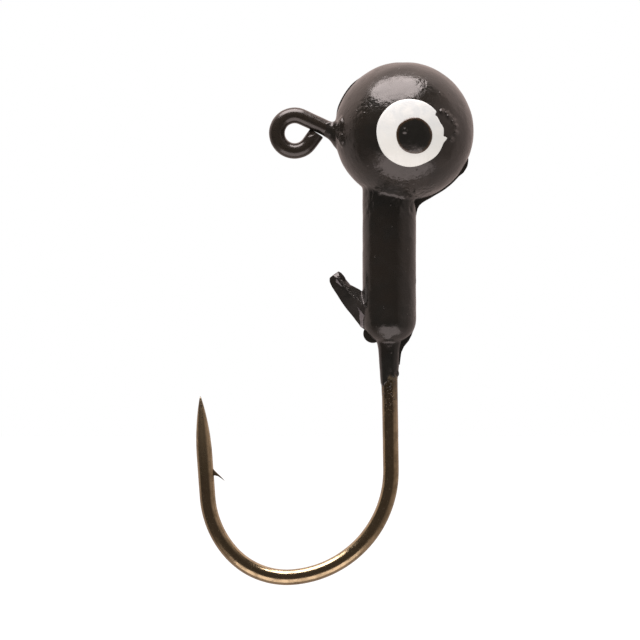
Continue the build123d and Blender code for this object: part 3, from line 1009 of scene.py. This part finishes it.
def plain_white(turn):
    """The far side's white, a little uneven."""
    return 1 + 0.010 * math.sin(math.radians(2 * turn + 70)) + 0.006 * math.sin(math.radians(5 * turn))


def hand_dotted(turn):
    """A pupil's outline as a share of its radius."""
    return 1 + 0.014 * math.sin(math.radians(2 * turn + 200)) + 0.008 * math.sin(math.radians(5 * turn + 30))


def paint_disc(name, off, radius, outline, side, surface, dome, drip=0.0):
    """A disc of paint laid on a surface: its outline, its dome and its drip's height."""
    clear_bench()
    bpy.ops.mesh.primitive_circle_add(vertices=DISC_SIDES, radius=radius, fill_type="NGON",
                                      rotation=(math.radians(90 * side), 0, 0))
    disc = settle(name)
    centre = BALL_CENTRE + Vector((off[0], 0, off[1]))
    centre.y = -side * OFF_THE_BALL
    shape = bmesh.from_edit_mesh(disc.data)
    for vertex in shape.verts:
        share = outline(math.degrees(math.atan2(vertex.co.z, vertex.co.x)))
        vertex.co = centre + Vector((vertex.co.x * share, 0, vertex.co.z * share))
    bmesh.update_edit_mesh(disc.data)
    bpy.ops.mesh.select_mode(type="FACE")
    bpy.ops.mesh.select_all(action="SELECT")
    reached = 1.0
    for share in DISC_RINGS:
        bpy.ops.mesh.extrude_region_move(TRANSFORM_OT_translate={"value": (0, 0, 0)})
        bpy.ops.transform.resize(value=(share / reached, 1, share / reached), center_override=centre)
        reached = share
    bpy.ops.mesh.merge(type="CENTER")
    fix_normals()
    work(disc, "SHRINKWRAP", target=surface, wrap_method="PROJECT", use_project_y=True,
         use_negative_direction=True, use_positive_direction=True)
    for vertex in disc.data.vertices:
        across, up = vertex.co.x - centre.x, vertex.co.z - centre.z
        from_drip = math.hypot(across - DRIP_OFF[0], up - DRIP_OFF[1])
        bead = drip * math.exp(-(from_drip / DRIP_R) ** 2)
        vertex.co.y -= side * (dome * max(1 - (across ** 2 + up ** 2) / radius ** 2, 0) + bead)
    work(disc, "SOLIDIFY", thickness=2 * EYE_FILM, offset=0.0)
    only(disc)
    bpy.ops.object.mode_set(mode="EDIT")
    fix_normals()
    bpy.ops.object.shade_smooth_by_angle(angle=math.radians(50))
    return disc


def bench_copy(head):
    """A copy of the finished head at bench scale, for the eyes to be laid on."""
    guide = head.copy()
    guide.data = head.data.copy()
    guide.name = "eye_guide"
    bpy.context.scene.collection.objects.link(guide)
    guide.parent = None
    only(guide)
    guide.scale = (BENCH, BENCH, BENCH)
    bpy.ops.object.transform_apply(location=True, rotation=True, scale=True)
    return guide


# ---- Operators ---------------------------------------------------------------------------
class JIG_OT_hook(bpy.types.Operator):
    """Bends the hook's wire, grinds its point and raises its barb"""

    bl_idname = "jig.hook"
    bl_label = "Hook"

    def execute(self, context):
        carve_hook(context.scene.jig_sizes, context.scene.jig_finish)
        return {"FINISHED"}


class JIG_OT_head(bpy.types.Operator):
    """Makes the painted head with its flash, and gives the casting under it its finish"""

    bl_idname = "jig.head"
    bl_label = "Painted head"

    def execute(self, context):
        sizes, finish = context.scene.jig_sizes, context.scene.jig_finish
        paint = black_gloss(finish)
        head = coat_head(sizes)
        flash = trim_flash(sizes)
        off_the_bench(head, paint, "black_paint", "black_paint")
        off_the_bench(flash, paint, "black_paint")
        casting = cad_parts["lead_head"]
        casting.data.materials.clear()
        casting.data.materials.append(dull_lead(finish))
        return {"FINISHED"}


class JIG_OT_eyes(bpy.types.Operator):
    """Paints the white and the pupil of the eye on each side"""

    bl_idname = "jig.eyes"
    bl_label = "Painted eyes"

    def execute(self, context):
        sizes, finish = context.scene.jig_sizes, context.scene.jig_finish
        white_r = sizes.eye_white * BENCH / 2
        pupil_r = sizes.pupil * BENCH / 2
        white = cream_white(finish)
        enamel = pupil_black(finish, BALL_CENTRE + Vector((PUPIL_OFF[0], 0, PUPIL_OFF[1])), pupil_r)
        guide = bench_copy(bpy.data.objects["painted_head"])
        for place, side, outline in (("front", 1, chipped_white), ("back", -1, plain_white)):
            eye = paint_disc(f"{place}_white", WHITE_OFF, white_r, outline, side, guide, WHITE_DOME)
            pupil = paint_disc(f"{place}_dot", PUPIL_OFF, pupil_r, hand_dotted, side, eye, PUPIL_DOME,
                               PUPIL_DRIP)
            off_the_bench(eye, white, "white_paint", f"{place}_eye_white")
            off_the_bench(pupil, enamel, "pupil_paint", f"{place}_pupil")
        bpy.data.objects.remove(guide)
        return {"FINISHED"}


class JIG_OT_stage(bpy.types.Operator):
    """Sets the floor, the lights, the surroundings and the camera"""

    bl_idname = "jig.stage"
    bl_label = "Stage"

    def execute(self, context):
        set_floor()
        set_lights()
        set_surroundings(context.scene)
        set_camera(context.scene)
        return {"FINISHED"}


def set_floor():
    """A plain white floor below the jig, seen by the camera only."""
    clear_bench()
    bpy.ops.mesh.primitive_plane_add(size=FLOOR_SIZE, location=(0, 0, FLOOR_Z))
    floor = settle("floor")
    bpy.ops.object.mode_set(mode="OBJECT")
    recipe = Recipe("floor_white", Base_Color=(0.9, 0.9, 0.9, 1), Roughness=0.9, Specular_IOR_Level=0.0,
                    Emission_Color=(1, 1, 1, 1), Emission_Strength=0.45)
    floor.data.materials.append(recipe.material)
    floor.visible_diffuse = False
    floor.visible_glossy = False
    floor.visible_shadow = False


def add_softbox(name, place, turn, size, radiance, colour):
    """A rectangular light that the camera doesn't see."""
    clear_bench()
    bpy.ops.object.light_add(type="AREA", location=place, rotation=[math.radians(angle) for angle in turn])
    light = bpy.context.object
    light.name = name
    light.data.shape = "RECTANGLE"
    light.data.size, light.data.size_y = size
    light.data.energy = radiance * math.pi * size[0] * size[1]
    light.data.color = colour
    light.visible_camera = False


def set_lights():
    """The overhead softbox and the reflector card under the front."""
    add_softbox("overhead_softbox", **OVERHEAD)
    add_softbox("reflector_card", **REFLECTOR)


def set_surroundings(scene):
    """A white background with studio walls round it: pale behind and right, dark in front."""
    world = bpy.data.worlds.new("studio")
    scene.world = world
    world.use_nodes = True
    tree = world.node_tree
    tree.nodes.clear()

    def add(kind, settings=None, **sockets):
        """The first output of a new node."""
        return add_node(tree, kind, settings, **sockets).outputs[0]

    def ramp(value, low, high, peak=1.0):
        """A smooth rise from 0 to a peak."""
        return add("ShaderNodeMapRange", {"interpolation_type": "SMOOTHSTEP"}, Value=value, From_Min=low,
                   From_Max=high, To_Max=peak)

    generated = tree.nodes.new("ShaderNodeTexCoord").outputs["Generated"]
    across, deep, up = add_node(tree, "ShaderNodeSeparateXYZ", Vector=generated).outputs
    behind = ramp(deep, 0.0, 0.26)
    right = ramp(across, 0.50, 0.98, 0.62)
    under = add("ShaderNodeMath", {"operation": "MULTIPLY"}, i0=ramp(up, -0.38, -0.60),
                i1=ramp(across, -1.00, -0.55))
    bright = add("ShaderNodeMapRange", Value=up, From_Min=-0.1, From_Max=0.6, To_Min=0.58, To_Max=1.25)
    beside = add("ShaderNodeMath", {"operation": "MAXIMUM"}, i0=behind, i1=right)
    walls = add("ShaderNodeMath", {"operation": "MAXIMUM"}, i0=beside, i1=under)
    wall_strength = add("ShaderNodeMapRange", Value=walls, To_Min=WALL_DARK, To_Max=bright)
    seen = add("ShaderNodeBackground", Color=(1, 1, 1, 1), Strength=1.0)
    fill = add("ShaderNodeBackground", Color=(1, 1, 1, 1), Strength=FILL)
    mirrored = add("ShaderNodeBackground", Color=WALL_TINT, Strength=wall_strength)
    path = tree.nodes.new("ShaderNodeLightPath").outputs
    lit = add("ShaderNodeMixShader", i0=path["Is Glossy Ray"], i1=fill, i2=mirrored)
    shown = add("ShaderNodeMixShader", i0=path["Is Camera Ray"], i1=lit, i2=seen)
    add_node(tree, "ShaderNodeOutputWorld", Surface=shown)
    scene.view_settings.view_transform = "Standard"


def set_camera(scene):
    """A level camera square to the hook's plane."""
    clear_bench()
    bpy.ops.object.camera_add(location=CAMERA_AT, rotation=(math.radians(90), 0, 0))
    camera = bpy.context.object
    camera.name = "camera"
    camera.data.lens = LENS_MM
    camera.data.sensor_width = SENSOR_MM
    camera.data.clip_start = 0.01
    camera.data.clip_end = 20.0
    scene.camera = camera


class JIG_PT_panel(bpy.types.Panel):
    """Lists the jig's pieces and its sizes"""

    bl_idname = "JIG_PT_panel"
    bl_label = "Round-head jig"
    bl_space_type = "VIEW_3D"
    bl_region_type = "UI"
    bl_category = "Jig"

    def draw(self, context):
        column = self.layout.column()
        for name in JigSizes.__annotations__:
            column.prop(context.scene.jig_sizes, name)
        for name in JigFinish.__annotations__:
            column.prop(context.scene.jig_finish, name)
        for operator in OPERATORS:
            column.operator(operator.bl_idname)


OPERATORS = (JIG_OT_hook, JIG_OT_head, JIG_OT_eyes, JIG_OT_stage)
CLASSES = (JigSizes, JigFinish, *OPERATORS, JIG_PT_panel)


def register():
    for part in CLASSES:
        bpy.utils.register_class(part)
    bpy.types.Scene.jig_sizes = bpy.props.PointerProperty(type=JigSizes)
    bpy.types.Scene.jig_finish = bpy.props.PointerProperty(type=JigFinish)


def unregister():
    del bpy.types.Scene.jig_finish
    del bpy.types.Scene.jig_sizes
    for part in reversed(CLASSES):
        bpy.utils.unregister_class(part)


def main():
    register()
    bpy.ops.jig.hook()
    bpy.ops.jig.head()
    bpy.ops.jig.eyes()
    bpy.ops.jig.stage()


if __name__ == "__main__":
    main()
